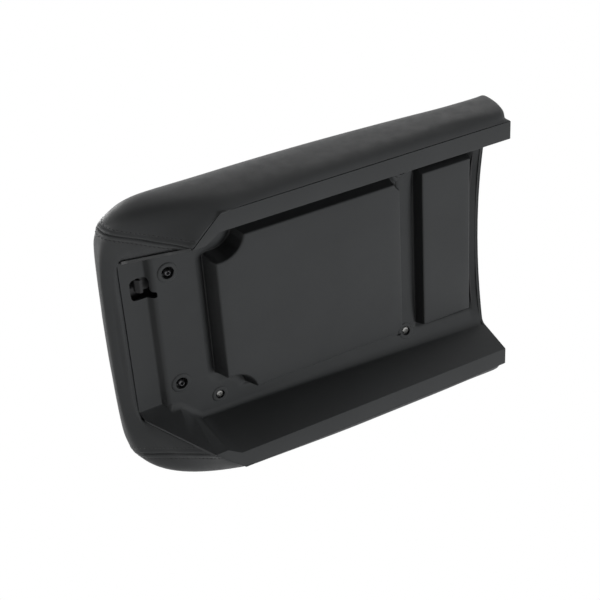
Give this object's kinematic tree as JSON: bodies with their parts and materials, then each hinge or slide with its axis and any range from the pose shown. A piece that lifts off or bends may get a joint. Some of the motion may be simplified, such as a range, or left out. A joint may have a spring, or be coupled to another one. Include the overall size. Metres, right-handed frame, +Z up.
{
  "type": "centre console lid",
  "caption": "Padded leather-covered lid of a car's centre console, with a moulded liner underneath, side rims, a raised panel and a spring catch behind a slot in its nose.",
  "frame": {"origin": "middle of the lid's box, on the plane of the two long rims that the lid rests on", "axes": "+Z up through the padding, as the lid is fitted; -Y towards the nose with the latch; +Y towards the square-cut hinge end; +X to the side with the latch slot"},
  "size_m": [0.292, 0.396, 0.1],
  "materials": {
    "cover_leather": "matte, fine grain",
    "foam": "matte, open-cell",
    "shell_plastic": "matte",
    "liner_plastic": "satin, fine grain",
    "bright_steel": "zinc plated, satin",
    "black_steel": "blackened",
    "catch_plastic": "satin"
  },
  "bodies": {
    "lid": {"cover_centre": "cover_leather", "cover_side_left": "cover_leather", "cover_side_right": "cover_leather", "foam_pad": "foam", "base_shell": "shell_plastic", "liner": "liner_plastic", "latch_bracket": "bright_steel", "latch_pin": "bright_steel", "latch_spring": "bright_steel", "latch_screw_left": "black_steel", "latch_screw_right": "black_steel", "latch_nut_left": "bright_steel", "latch_nut_right": "bright_steel", "liner_screw_1": "bright_steel", "liner_screw_2": "bright_steel", "liner_screw_3": "bright_steel", "liner_screw_4": "bright_steel"},
    "catch": {"latch_catch": "catch_plastic"}
  },
  "joints": [
    {"name": "latch_pivot", "type": "hinge", "parent": "lid", "child": "catch", "pos_m": [0.051, -0.1499, 0.0695], "axis": [-1, 0, 0], "range_deg": [0, 6], "stiffness_Nm_per_rad": 0.01, "deforming": ["latch_spring"]}
  ]
}
